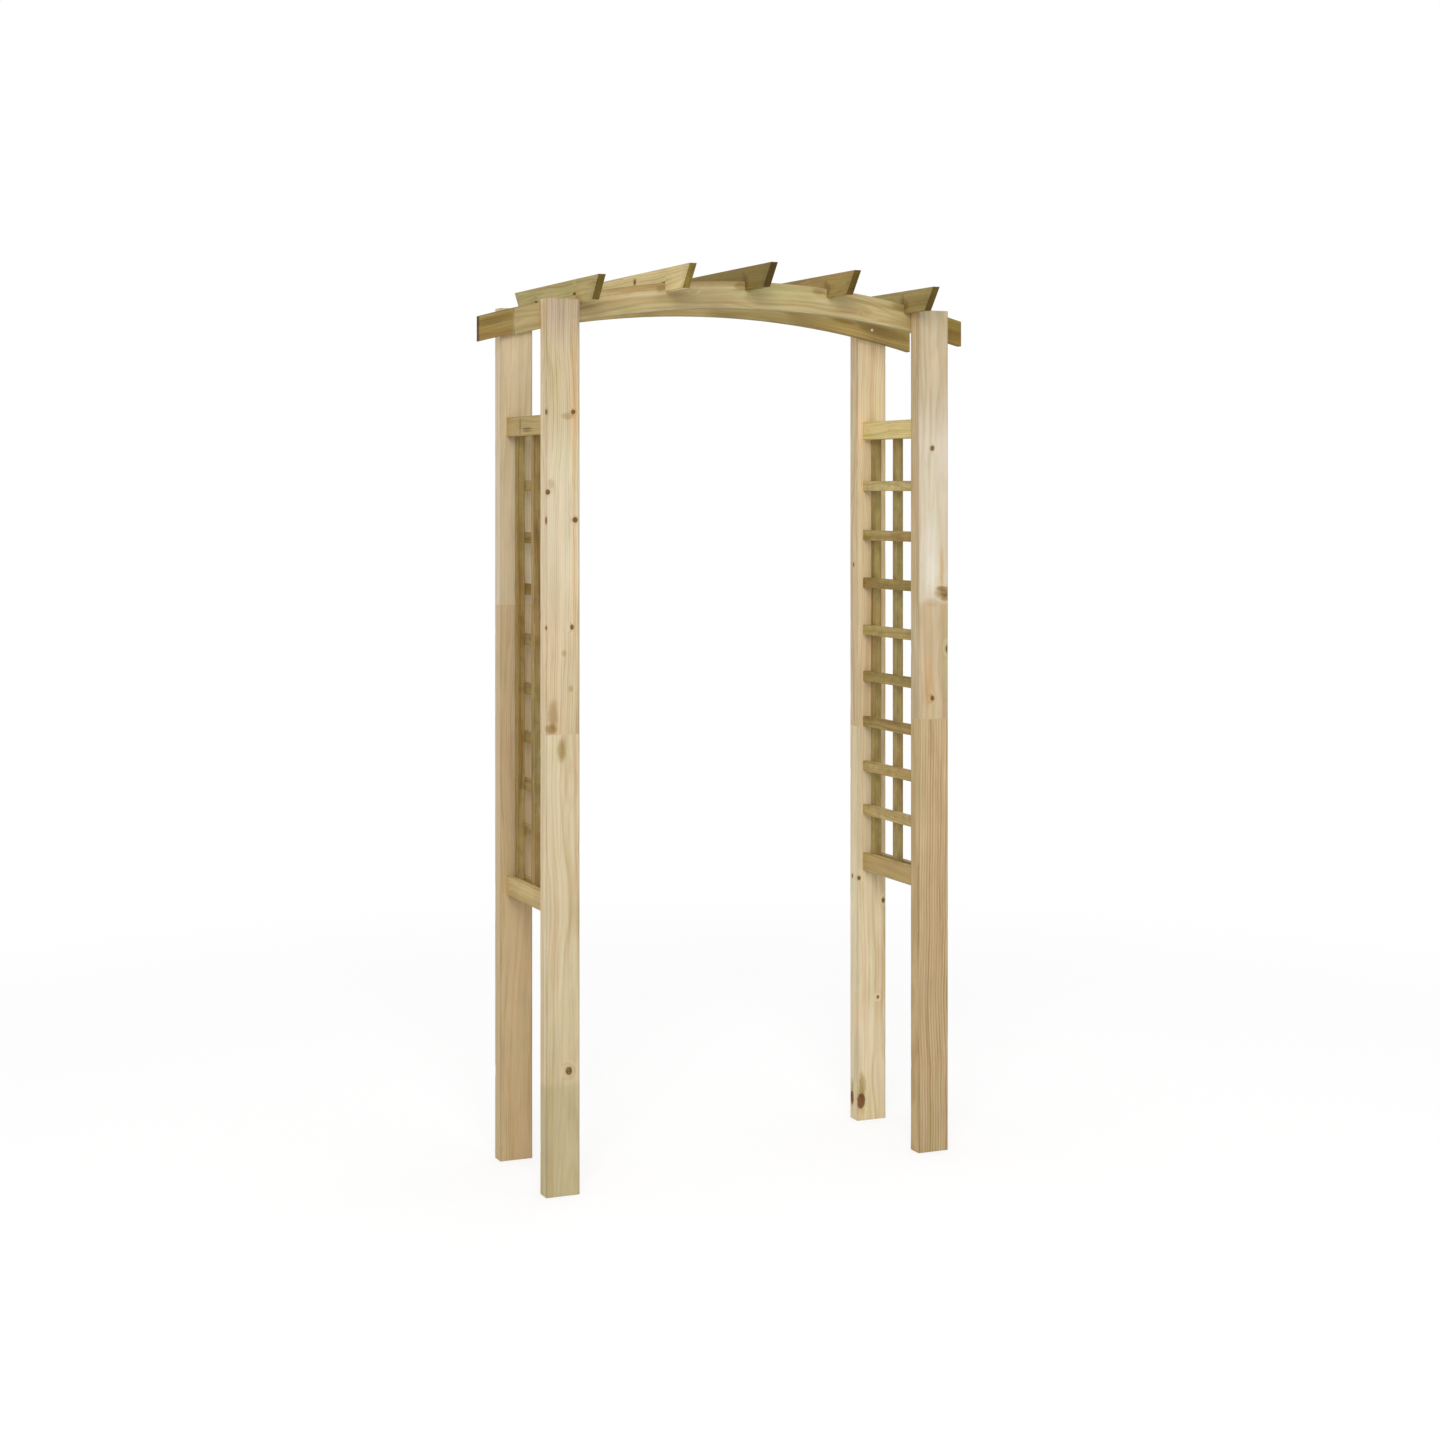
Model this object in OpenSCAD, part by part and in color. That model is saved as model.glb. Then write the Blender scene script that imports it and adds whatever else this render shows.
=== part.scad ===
// Garden trellis arch: four posts, two arched beams, five notched rafters and a
// trellis panel on each side. Millimetres, +Z up. The origin is on the ground, at
// the middle of the four posts: X runs across the walk-through, Y along it.

/* [Posts] */
// Height of each post
post_h = 2250; // [1800:10:2700]
// Width of a post, across the walk-through
post_w = 90; // [70:1:120]
// Depth of a post, along the walk-through
post_d = 45; // [35:1:90]
// Radius of a post's long rounded edges
post_arris = 3; // [1:0.5:6]
// Clear width between the left and the right posts
passage_w = 960; // [700:10:1400]
// Clear depth between a front post and the back post behind it
bay_d = 320; // [240:10:600]

/* [Arched beams] */
// How far a beam runs past the outer faces of the posts
beam_overhang = 65; // [20:1:150]
// Height of the board at its middle
beam_h = 72; // [50:1:110]
// Height of the board where it is cut off upright at its ends
beam_end_h = 67; // [45:1:110]
// Thickness of the board
beam_t = 22; // [18:1:40]
// How far the middle of a beam stands above its ends
beam_rise = 88; // [50:1:140]
// Height of the beam's crown above the post tops
crown_up = 64; // [50:1:90]

/* [Rafters] */
// Number of rafters
rafter_count = 5; // [3:1:9]
// How far a rafter's top edge runs past the faces of the posts
rafter_overhang = 120; // [60:5:250]
// Height of a rafter board
rafter_h = 60; // [45:1:90]
// Thickness of a rafter board
rafter_t = 20; // [15:1:30]
// How far a rafter's top edge stands above the beam below it
rafter_proud = 37; // [15:1:44]
// How far the bottom edge is cut back at each sloping end
rafter_undercut = 49; // [20:1:80]
// Sideways slip of each rafter from even spacing, left to right
rafter_slip = [5, 14, 3, 5, 0]; // [0:1:15]

/* [Trellis panels] */
// Distance of a panel's top edge below the post tops
panel_drop = 289; // [200:1:500]
// Height of a panel
panel_h = 1259; // [600:1:1500]
// Height of a rail board
rail_h = 50; // [35:1:70]
// Thickness of a rail board
rail_t = 18; // [12:1:24]
// Radius of a rail's long rounded edges
rail_arris = 1.5; // [0.5:0.5:3]
// Width of a lattice bar
bar_w = 28; // [18:1:36]
// Thickness of a lattice bar
bar_t = 18; // [12:1:24]
// Distance of the first cross slat below the top rails
slat_first = 130; // [60:1:180]
// Spacing of the first two cross slats
slat_pitch = 136.5; // [80:0.5:180]
// How much each spacing below the first is closed up on the one above
slat_closing = 2.3; // [0:0.1:3]
// Number of uprights in a panel
upright_count = 3; // [2:1:5]
// Distance from a panel's end to its nearest upright
upright_inset = 15; // [5:1:40]

/* [Fits] */
// Gap left between a rafter's notch and each face of the beam
notch_clear = 0.5; // [0.2:0.1:2]
// Gap left between a panel's end and the post
panel_clear = 0.5; // [0.2:0.1:2]

/* [Hidden] */
$fn = 48;
// Sides used for the long arcs of the beams
ARC_FN = 720;
// Half of the clear width, and of the clear depth
half_w = passage_w / 2;
half_d = bay_d / 2;
// The beam's length, and the radii of its top and bottom edges
beam_len = passage_w + 2 * post_w + 2 * beam_overhang;
beam_r = arc_radius(beam_rise);
belly_r = arc_radius(beam_rise + beam_end_h - beam_h);
crown_z = post_h + crown_up;
rafter_len = bay_d + 2 * post_d + 2 * rafter_overhang;
// The outer rafters stand against the inner faces of the posts
rafter_span = passage_w - rafter_t;
rafter_step = rafter_span / (rafter_count - 1);
// A panel's stack is inner rail, upright, outer rail, centred in the post's width
panel_t = 2 * rail_t + bar_t;
panel_len = bay_d - 2 * panel_clear;
panel_top = post_h - panel_drop;
panel_base = panel_top - panel_h;
upright_step = (panel_len - 2 * upright_inset - bar_w) / (upright_count - 1);
// Cross slats fill the space between the rails, counted down from the top one
slat_room = panel_h - 2 * rail_h - bar_w;
slat_drops = [for (i = [0:40]) if (slat_drop(i) <= slat_room && slat_pitch - slat_closing * i > bar_w) slat_drop(i)];

SIDES = ["left", "right"];
RAILS = ["top_rail_inner", "top_rail_outer", "bottom_rail_inner", "bottom_rail_outer"];
RAFTERS = [for (i = [1:rafter_count]) str("rafter_", i)];
PANELS = [for (side = SIDES) each concat([str(side, "_lattice")], [for (rail = RAILS) str(side, "_", rail)])];

// Radius of an arc over the beam's length that rises by so much
function arc_radius(rise) = (pow(beam_len / 2, 2) + pow(rise, 2)) / (2 * rise);

// Distance of a cross slat's middle below the top rails, counted from 0
function slat_drop(i) = slat_first + i * slat_pitch - slat_closing * i * (i - 1) / 2;

// Height of the beam's top edge at a distance x from the middle
function beam_top(x) = crown_z - beam_r + sqrt(pow(beam_r, 2) - pow(x, 2));

// Middle of a rafter's thickness, counted from the left
function rafter_x(i) = -rafter_span / 2 + i * rafter_step + (i < len(rafter_slip) ? rafter_slip[i] : 0);

// Rectangle from the origin with rounded corners, for a planed board's section
module board_section(w, d, r) {
    translate([r, 0]) square([w - 2 * r, d]);
    translate([0, r]) square([w, d - 2 * r]);
    for (x = [r, w - r], y = [r, d - r]) translate([x, y]) circle(r);
}

// Post, placed by the low corner of its foot
module post(x, y) {
    color("burlywood") translate([x, y, 0]) linear_extrude(post_h) board_section(post_w, post_d, post_arris);
}

// Curved board between two arcs, cut off upright at both ends
module arched_beam(y) {
    color("darkkhaki") translate([0, y + beam_t, 0]) rotate([90, 0, 0]) linear_extrude(beam_t)
        intersection() {
            difference() {
                translate([0, crown_z - beam_r]) circle(beam_r, $fn = ARC_FN);
                translate([0, crown_z - beam_h - belly_r]) circle(belly_r, $fn = ARC_FN);
            }
            translate([-beam_len / 2, crown_z - beam_rise - 2 * beam_h]) square([beam_len, beam_rise + 2 * beam_h]);
        }
}

// Upright board with undercut ends, notched from below to sit down over both beams
module rafter(i) {
    x = rafter_x(i);
    top = beam_top(x) + rafter_proud;
    // The notch bears on the beam's highest point within the rafter's thickness
    seat = beam_top(max(0, abs(x) - rafter_t / 2));
    half = rafter_len / 2;
    notch_w = beam_t + 2 * notch_clear;
    color("olivedrab") translate([x - rafter_t / 2, 0, 0]) rotate([90, 0, 90]) linear_extrude(rafter_t)
        difference() {
            polygon([
                [-half, top], [half, top],
                [half - rafter_undercut, top - rafter_h], [rafter_undercut - half, top - rafter_h]]);
            for (y = [-half_d, half_d - beam_t])
                translate([y - notch_clear, top - 2 * rafter_h]) square([notch_w, seat - top + 2 * rafter_h]);
        }
}

// Draws its children in a panel's own frame, put in place on one side: x runs
// outwards from the panel's face on the walk-through, y along it from the front
module panel_place(side) {
    inner_x = half_w + (post_w - panel_t) / 2;
    mirror([side == "left" ? 1 : 0, 0, 0]) translate([inner_x, panel_clear - half_d, 0]) children();
}

// Rail board, lying along the panel
module rail(side, x, z) {
    color("darkkhaki") panel_place(side) translate([x, panel_len, z]) rotate([90, 0, 0])
        linear_extrude(panel_len) board_section(rail_t, rail_h, rail_arris);
}

// Uprights clamped between the rails, with the cross slats on their inner faces
module lattice(side) {
    color("tan") panel_place(side) {
        for (i = [0:upright_count - 1])
            translate([rail_t, upright_inset + i * upright_step, panel_base]) cube([bar_t, bar_w, panel_h]);
        for (drop = slat_drops)
            translate([rail_t - bar_t, 0, panel_top - rail_h - drop - bar_w / 2])
                cube([bar_t, panel_len, bar_w]);
    }
}

post(-half_w - post_w, -half_d - post_d);  // post_front_left
post(half_w, -half_d - post_d);  // post_front_right
post(-half_w - post_w, half_d);  // post_back_left
post(half_w, half_d);  // post_back_right
arched_beam(-half_d);  // front_beam
arched_beam(half_d - beam_t);  // back_beam
for (i = [0:rafter_count - 1]) rafter(i);
for (side = SIDES) {
    outer_x = rail_t + bar_t;
    top_z = panel_top - rail_h;
    lattice(side);
    rail(side, 0, top_z);
    rail(side, outer_x, top_z);
    rail(side, 0, panel_base);
    rail(side, outer_x, panel_base);
}
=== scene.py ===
import math

import bmesh
import bpy
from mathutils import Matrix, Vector, noise


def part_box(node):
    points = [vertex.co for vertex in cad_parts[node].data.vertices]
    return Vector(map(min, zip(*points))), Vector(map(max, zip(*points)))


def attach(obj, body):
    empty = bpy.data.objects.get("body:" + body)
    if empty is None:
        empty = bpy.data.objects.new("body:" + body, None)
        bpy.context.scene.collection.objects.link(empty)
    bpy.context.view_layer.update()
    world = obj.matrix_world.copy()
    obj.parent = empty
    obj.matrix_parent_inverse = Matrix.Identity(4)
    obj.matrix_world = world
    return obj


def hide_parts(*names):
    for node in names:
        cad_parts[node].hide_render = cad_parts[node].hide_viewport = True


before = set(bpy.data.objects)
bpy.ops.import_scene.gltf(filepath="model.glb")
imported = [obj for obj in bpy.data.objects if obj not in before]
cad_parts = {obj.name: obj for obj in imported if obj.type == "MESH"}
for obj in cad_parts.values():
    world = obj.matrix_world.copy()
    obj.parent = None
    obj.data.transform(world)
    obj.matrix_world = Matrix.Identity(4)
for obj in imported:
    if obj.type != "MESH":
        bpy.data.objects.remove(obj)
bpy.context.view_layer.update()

# --------------------------------------------------------------------------------
# Posts: four lengths of planed pine, 90 x 45 mm, with rounded arrises, sawn square at the
# top and at the foot. Each is glued up from two lengths, so its colour changes part way.

# A post's faces from its middle, its arrises, and the height between its stations
FRONT = -0.0225
BACK = 0.0225
LEFT = -0.045
POST_ARRIS = 0.003
POST_STEP = 0.015
# No station comes this near to the top of a post, and a sawn end is eased by this much
TOP_SPARE = 0.003
END_EASE = 0.0008
# A worn arris: its points and their turn, how dark its painted shade line is, how wide that shade
# fades, how it varies
ARRIS_POINTS = 4
ARRIS_TURN = 30
ARRIS_TONE = 0.80
ARRIS_FADE = 0.0012
ARRIS_WEAR = 0.35
# How far a face lies off flat, and the turn in radians above which an edge stays sharp
FACE_HOLLOW = 0.00012
SHARP_TURN = 0.6


class Wire:
    """One output of a node. Sums on wires and numbers add the Math nodes that work them out."""

    def __init__(self, bench, socket):
        self.bench = bench
        self.socket = socket

    def sum(self, operation, first, second):
        return self.bench.node("ShaderNodeMath", {"operation": operation}, [first, second])

    def __add__(self, other):
        return self.sum("ADD", self, other)

    def __sub__(self, other):
        return self.sum("SUBTRACT", self, other)

    def __rsub__(self, other):
        return self.sum("SUBTRACT", other, self)

    def __mul__(self, other):
        return self.sum("MULTIPLY", self, other)

    def __truediv__(self, other):
        return self.sum("DIVIDE", self, other)

    __radd__ = __add__

    def smaller(self, other):
        return self.sum("MINIMUM", self, other)

    def larger(self, other):
        return self.sum("MAXIMUM", self, other)

    def power(self, other):
        return self.sum("POWER", self, other)

    def floor(self):
        return self.sum("FLOOR", self, 0.0)

    def moved(self, by):
        return self.bench.node("ShaderNodeVectorMath", {"operation": "ADD"}, [self, by])

    def times(self, by):
        return self.bench.node("ShaderNodeVectorMath", {"operation": "MULTIPLY"}, [self, by])

    def length(self):
        return self.bench.node("ShaderNodeVectorMath", {"operation": "LENGTH"}, [self], "Value")

    def part(self, axis):
        return self.bench.node("ShaderNodeSeparateXYZ", {}, [self], axis)

    def ramp(self, low, high, to_low=0.0, to_high=1.0):
        """Rises smoothly from to_low to to_high as the wire goes from low to high."""
        return self.bench.node(
            "ShaderNodeMapRange", {"interpolation_type": "SMOOTHSTEP"},
            {"Value": self, "From Min": low, "From Max": high, "To Min": to_low, "To Max": to_high})


class Bench:
    """A node tree that is being put together, for a finish or for a run of repeated pieces."""

    def __init__(self, tree):
        self.tree = tree
        tree.nodes.clear()

    def node(self, kind, settings=None, sockets=None, out=0):
        """Adds a node, sets it up, then fills its sockets, by name or in order."""
        made = self.tree.nodes.new(kind)
        for key, value in (settings or {}).items():
            setattr(made, key, value)
        filled = sockets or {}
        for key, value in enumerate(filled) if isinstance(filled, list) else filled.items():
            socket = self.open_socket(made.inputs, key)
            if isinstance(value, Wire):
                self.tree.links.new(value.socket, socket)
            else:
                socket.default_value = value
        if len(made.outputs) == 0:
            return made
        return Wire(self, self.open_socket(made.outputs, out))

    def open_socket(self, row, key):
        """The socket of this name, or in this place, that the node's settings leave in use."""
        if isinstance(key, int):
            return row[key]
        return next(socket for socket in row if socket.name == key and socket.enabled)

    def tinted(self, colour, tint, amount):
        """The colour multiplied by a tint, as strongly as amount says."""
        return self.node(
            "ShaderNodeMix", {"data_type": "RGBA", "blend_type": "MULTIPLY"},
            {"Factor": amount, "A": colour, "B": (*tint, 1.0)}, "Result")

    def covered(self, colour, cover, amount):
        """The colour covered by another one, as strongly as amount says."""
        return self.node(
            "ShaderNodeMix", {"data_type": "RGBA", "blend_type": "MIX"},
            {"Factor": amount, "A": colour, "B": cover}, "Result")

    def grainy(self, place, stretch, detail=2.0, roughness=0.5):
        """Soft noise whose grains are as long and as wide as stretch makes them."""
        return self.node(
            "ShaderNodeTexNoise", {"noise_dimensions": "3D"},
            {"Vector": place.times(stretch), "Scale": 1.0, "Detail": detail, "Roughness": roughness})


def shade(red, green, blue, figure=1.0):
    """A colour, 0 to 255 a channel, as linear numbers, then how strongly its grain is marked."""
    return (*(
        value / 12.92 if value <= 0.04045 else ((value + 0.055) / 1.055) ** 2.4
        for value in (red / 255, green / 255, blue / 255)), figure)


def dimmed(tone, share):
    """A colour darkened to this share of itself, its grain marked as before."""
    return (*(value * share for value in tone[:3]), tone[3])


def new_finish(name):
    """A new material, and the bench that fills it."""
    finish = bpy.data.materials.new(name)
    finish.use_nodes = True
    return finish, Bench(finish.node_tree)


def nearest(place, spots, wobble):
    """Distance to the nearest of the spots, 1 at the edge of its oval."""
    near = None
    for middle, reach in spots:
        away = place.moved([-value for value in middle])
        away = away.times([1 / value for value in reach]).length()
        near = away if near is None else near.smaller(away)
    return near * wobble


def pine(name, ring, late, streaks, mottle, green, sawn=(0.68, 0.60, 0.46), gloss=0.6,
         spots=(7.0, 26.0, 26.0), knots=(), smears=()):
    """Pine: growth rings round a pith that wanders, fibres along the board, knots and treatment.

    Ring is the rings' width. The next four say how strong the late wood, the stripes, the
    clouds and the green of the treatment are. Sawn tints the ends, and spots sizes the clouds.
    """
    finish, bench = new_finish(name)
    place = bench.node("ShaderNodeAttribute", {"attribute_name": "grain"}, out="Vector")
    colour = bench.node("ShaderNodeAttribute", {"attribute_name": "tone"}, out="Color")
    figure = bench.node("ShaderNodeAttribute", {"attribute_name": "tone"}, out="Alpha")
    cut = bench.node("ShaderNodeAttribute", {"attribute_name": "cut"}, out="Fac")

    # Where the pith wanders to along the log, and five noises, from the finest to the widest
    along = place.part("X")
    wander = bench.node(
        "ShaderNodeTexNoise", {"noise_dimensions": "1D"},
        {"W": along, "Scale": 1.3, "Detail": 3.0, "Roughness": 0.45}, "Color")
    bent = place.moved(wander.times((0.0, 0.05, 0.03)))
    fibre = bench.grainy(place, (22.0, 900.0, 900.0), 2.0)
    grain = bench.grainy(bent, (2.6, 150.0, 150.0), 3.0, 0.65)
    stripe = bench.grainy(bent, (0.9, 52.0, 52.0), 2.0)
    patch = bench.grainy(place, (5.0, 22.0, 22.0), 3.0, 0.6)
    cloud = bench.grainy(place.moved((3.1, 0.7, 0.2)), spots, 2.0)

    # The growth rings, pushed aside by the knots
    radius = bent.times((0.0, 1.0, 1.0)).length() + (grain - 0.5) * 0.0016
    wobble = bench.grainy(place, (60.0, 90.0, 90.0), 1.0) * 0.5 + 0.75
    if knots:
        near = nearest(place, knots, wobble)
        radius = radius + near.ramp(0.6, 3.2, 0.008, 0.0)
    count = radius / ring
    whole = count.floor()
    spread = count - whole
    late_wood = spread.ramp(0.3, 0.85) * spread.ramp(0.85, 1.0, 1.0, 0.0) * figure
    ring_tone = bench.node(
        "ShaderNodeTexWhiteNoise", {"noise_dimensions": "1D"}, {"W": whole}, "Value")
    lines = grain.ramp(0.46, 0.72) * figure

    # Pink and green patches, dark and pale clouds, late wood, stripes, lines, then fibres
    colour = bench.tinted(colour, (1.04, 0.95, 0.91), patch.ramp(0.52, 0.30) * mottle)
    colour = bench.tinted(colour, (0.86, 0.95, 0.74), patch.ramp(0.48, 0.72) * green)
    colour = bench.tinted(colour, (0.84, 0.84, 0.80), cloud.ramp(0.50, 0.75) * mottle)
    colour = bench.tinted(colour, (1.14, 1.15, 1.18), cloud.ramp(0.45, 0.25) * mottle)
    colour = bench.tinted(colour, (0.75, 0.64, 0.47), late_wood * (ring_tone * 0.7 + 0.3) * late)
    colour = bench.tinted(colour, (0.74, 0.64, 0.47), stripe.ramp(0.50, 0.72) * streaks)
    colour = bench.tinted(colour, (1.16, 1.18, 1.22), stripe.ramp(0.48, 0.25) * streaks)
    colour = bench.tinted(colour, (0.70, 0.62, 0.50), lines * 0.45)
    colour = bench.tinted(colour, (0.84, 0.78, 0.68), fibre.ramp(0.5, 0.85) * 0.5)
    # A knot: a stained halo, a mottled heart, and a dark bark line round it
    if knots:
        colour = bench.tinted(colour, (0.82, 0.71, 0.52), near.ramp(2.2, 0.9, 0.0, 0.6))
        turns = bench.grainy(place, (260.0, 420.0, 420.0), 1.0)
        heart = bench.covered(shade(98, 78, 46), shade(134, 108, 70), turns.ramp(0.4, 0.65))
        colour = bench.covered(colour, heart, near.ramp(1.05, 0.75))
        bark = near.ramp(0.75, 0.92) * near.ramp(0.92, 1.12, 1.0, 0.0)
        colour = bench.tinted(colour, (0.5, 0.4, 0.3), bark)
    for middle, reach, tint, amount in smears:
        away = nearest(place, [(middle, reach)], wobble)
        colour = bench.tinted(colour, tint, away.ramp(1.0, 0.35, 0.0, amount))
    colour = bench.tinted(colour, sawn, cut)

    dull = gloss + (fibre - 0.5) * 0.2 + cut * 0.2 - late_wood * 0.06
    height = fibre * 0.5 + grain * 0.35 - late_wood * 0.25
    bump = bench.node(
        "ShaderNodeBump", {}, {"Strength": 0.35, "Distance": 0.0006, "Height": height}, "Normal")
    surface = bench.node(
        "ShaderNodeBsdfPrincipled", {},
        {"Base Color": colour, "Roughness": dull, "Normal": bump, "Specular IOR Level": 0.3})
    bench.node("ShaderNodeOutputMaterial", {}, {"Surface": surface})
    return finish


def edge_round(across, up, arris, sign_across, high):
    """Points round one arris, as offsets through the board and heights up its face."""
    turn = {(-1, False): 180, (1, False): 270, (1, True): 0, (-1, True): 90}[(sign_across, high)]
    middle = (sign_across * (across / 2 - arris), up - arris if high else arris)
    angles = [math.radians(turn + ARRIS_TURN * step) for step in range(ARRIS_POINTS)]
    return [
        (middle[0] + arris * math.cos(angle), middle[1] + arris * math.sin(angle))
        for angle in angles]


def worn_section(thick, up, arris, along, seed):
    """A board's outline at a station: its four arrises, each with a point before and after."""
    outline = []
    for spot, (side, is_high) in enumerate([(-1, False), (1, False), (1, True), (-1, True)]):
        wear = noise.noise(Vector((along * 7, spot * 13.7, seed))) * ARRIS_WEAR
        nick = max(0.0, noise.noise(Vector((along * 19, spot * 5.3, seed + 40))) - 0.35) * 2.0
        worn = min(arris * (1 + wear + nick), thick * 0.3)
        corner = edge_round(thick, up, worn, side, is_high)
        beside = min(worn + ARRIS_FADE, thick * 0.45)
        on_face = (side * thick / 2, up - beside if is_high else beside)
        on_edge = side * (thick / 2 - beside)
        if side * (1 if is_high else -1) > 0:
            outline += [on_face, *corner, (on_edge, corner[-1][1])]
        else:
            outline += [(on_edge, corner[0][1]), *corner, on_face]
    return outline


def eased_rows(stations):
    """The stations, each with how far its outline is drawn in and whether it is a sawn end."""
    first, last = stations[0], stations[-1]
    ahead = (stations[1][0] - first[0]).normalized() * END_EASE
    back = (stations[-2][0] - last[0]).normalized() * END_EASE
    rows = [(first, END_EASE, 1.0)]
    rows += [((first[0] + ahead, first[1] + ahead, first[2] + END_EASE), 0.0, 0.0)]
    rows += [(station, 0.0, 0.0) for station in stations[1:-1]]
    rows += [((last[0] + back, last[1] + back, last[2] - END_EASE), 0.0, 0.0)]
    rows += [(last, END_EASE, 1.0)]
    return rows


def join_rings(shell, rings):
    """The faces between each ring of points and the next."""
    faces = []
    for near_ring, far_ring in zip(rings, rings[1:]):
        for spot, (near_point, far_point) in enumerate(zip(near_ring, far_ring)):
            after = (spot + 1) % len(near_ring)
            faces.append(shell.faces.new((near_point, near_ring[after], far_ring[after], far_point)))
    return faces


def linked(name, data):
    """A new object in the scene, with this data."""
    made = bpy.data.objects.new(name, data)
    bpy.context.scene.collection.objects.link(made)
    return made


def as_piece(name, shell):
    """The object that a finished shell makes."""
    mesh = bpy.data.meshes.new(name)
    shell.to_mesh(mesh)
    shell.free()
    return linked(name, mesh)


def plank(name, stations, through, thick, arris, tones, lengths, edge_tones=None):
    """A planed board between stations, each a low edge, a high edge and a distance along it.

    The arrises wear unevenly and the faces are a hair off flat. Each length of timber in it
    is where it starts, a number that makes its grain its own, and its pith, which is given
    across and through the board. The grain runs from station to station. The two narrow
    edges may have a colour of their own.
    """
    seed = sum(ord(letter) * (spot + 3) for spot, letter in enumerate(name)) % 977
    shell = bmesh.new()
    grain_layer = shell.verts.layers.float_vector.new("grain")
    tone_layer = shell.verts.layers.float_color.new("tone")
    cut_layer = shell.verts.layers.float.new("cut")
    rings = []
    for (low, high, along), inset, cut in eased_rows(stations):
        up = (high - low).length
        rise = (high - low) / up
        wide_tone, narrow_tone = tone_at(tones, along), tone_at(edge_tones or tones, along)
        ring = []
        for offset, height in worn_section(thick, up, arris, along, seed):
            unevenness = noise.noise(Vector((along * 5, offset * 40, height * 25 + seed)))
            lift = FACE_HOLLOW * (1 + unevenness) + inset
            offset -= math.copysign(min(abs(offset), lift), offset)
            height = min(max(height, lift), up - lift)
            vert = shell.verts.new(low + rise * height + through * offset)
            vert[grain_layer] = grain_at(lengths, along, height - up / 2, offset)
            corner, point = divmod(len(ring), ARRIS_POINTS + 2)
            # The points round each arris are darkened, as painted shade along the rounded arris
            arris_shade = 1.0 if point in (0, ARRIS_POINTS + 1) else ARRIS_TONE
            on_narrow = (point > ARRIS_POINTS // 2) == (corner % 2 == 0)
            vert[tone_layer] = dimmed(narrow_tone if on_narrow else wide_tone, arris_shade)
            vert[cut_layer] = cut
            ring.append(vert)
        rings.append(ring)
    for face in join_rings(shell, rings):
        face.smooth = True
    shell.faces.new(reversed(rings[0]))
    shell.faces.new(rings[-1])
    bmesh.ops.recalc_face_normals(shell, faces=shell.faces)
    for edge in shell.edges:
        edge.smooth = edge.calc_face_angle(0.0) < SHARP_TURN
    return as_piece(name, shell)


def grain_at(lengths, along, across, through):
    """The place in the log of a point in the board, in metres from the pith."""
    _, number, pith = [length for length in lengths if length[0] <= along + 1e-6][-1]
    return (number * 7.0 + along, across - pith[0], through - pith[1])


def stops(rows):
    """Colour stops, from rows of a distance along the board and a colour as shade takes it."""
    return [(along, shade(*colour)) for along, *colour in rows]


def in_grain(lengths, marks):
    """Marks on a board, each with its place on the board turned into its place in the log."""
    return [(grain_at(lengths, *spot), *rest) for spot, *rest in marks]


def tone_at(tones, along):
    """The board's colour at a distance along it, between the nearest two stops."""
    if along <= tones[0][0]:
        return tones[0][1]
    for (start, first), (end, second) in zip(tones, tones[1:]):
        if along <= end:
            share = (along - start) / (end - start)
            return tuple(a + (b - a) * share for a, b in zip(first, second))
    return tones[-1][1]


def fixed(piece, finish, slot, *nodes):
    """Gives a finished piece its look and stands it in for the frame's solids."""
    piece.data.materials.clear()
    piece.data.materials.append(finish)
    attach(piece, "root")
    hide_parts(*nodes)


def post(node, lengths, tones, edge_tones, knots, smears, **look):
    """One post. Knots and smears are placed by height, across from the middle, and through."""
    # The narrow faces' colours are partly their own and partly painted light, paler to make up for
    # the lamps lighting them less than the fronts
    tones, edge_tones = stops(tones), stops(edge_tones)
    low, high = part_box(node)
    left, right = low.x, high.x
    middle = (low.y + high.y) / 2
    count = int((high.z - TOP_SPARE) / POST_STEP)
    heights = {round(step * POST_STEP, 4) for step in range(1, count)}
    heights |= {height for height, _ in tones + edge_tones if 0 < height < high.z}
    stations = [
        (Vector((left, middle, height)), Vector((right, middle, height)), height)
        for height in [0.0, *sorted(heights), high.z]]
    piece = plank(
        node + "_timber", stations, Vector((0, 1, 0)), high.y - low.y, POST_ARRIS, tones, lengths,
        edge_tones)
    finish = pine(
        "pine " + node.replace("_", " "), knots=in_grain(lengths, knots),
        smears=in_grain(lengths, smears), **look)
    fixed(piece, finish, "post_pine", node)


# Tints of the stains on the posts
BROWN_SMEAR = (0.62, 0.52, 0.34)
RED_STREAK = (0.96, 0.80, 0.66)
PALE_PATCH = (1.10, 1.15, 1.26)
FLAME = (0.90, 0.70, 0.42)
DARK_HEART = (0.52, 0.38, 0.20)
RED_HEART = (1.40, 0.75, 0.45)
OLIVE_CAST = (0.88, 0.97, 0.86)
MOSS_CAST = (0.66, 0.62, 0.42)
PINK_CAST = (1.07, 0.94, 0.88)

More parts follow.
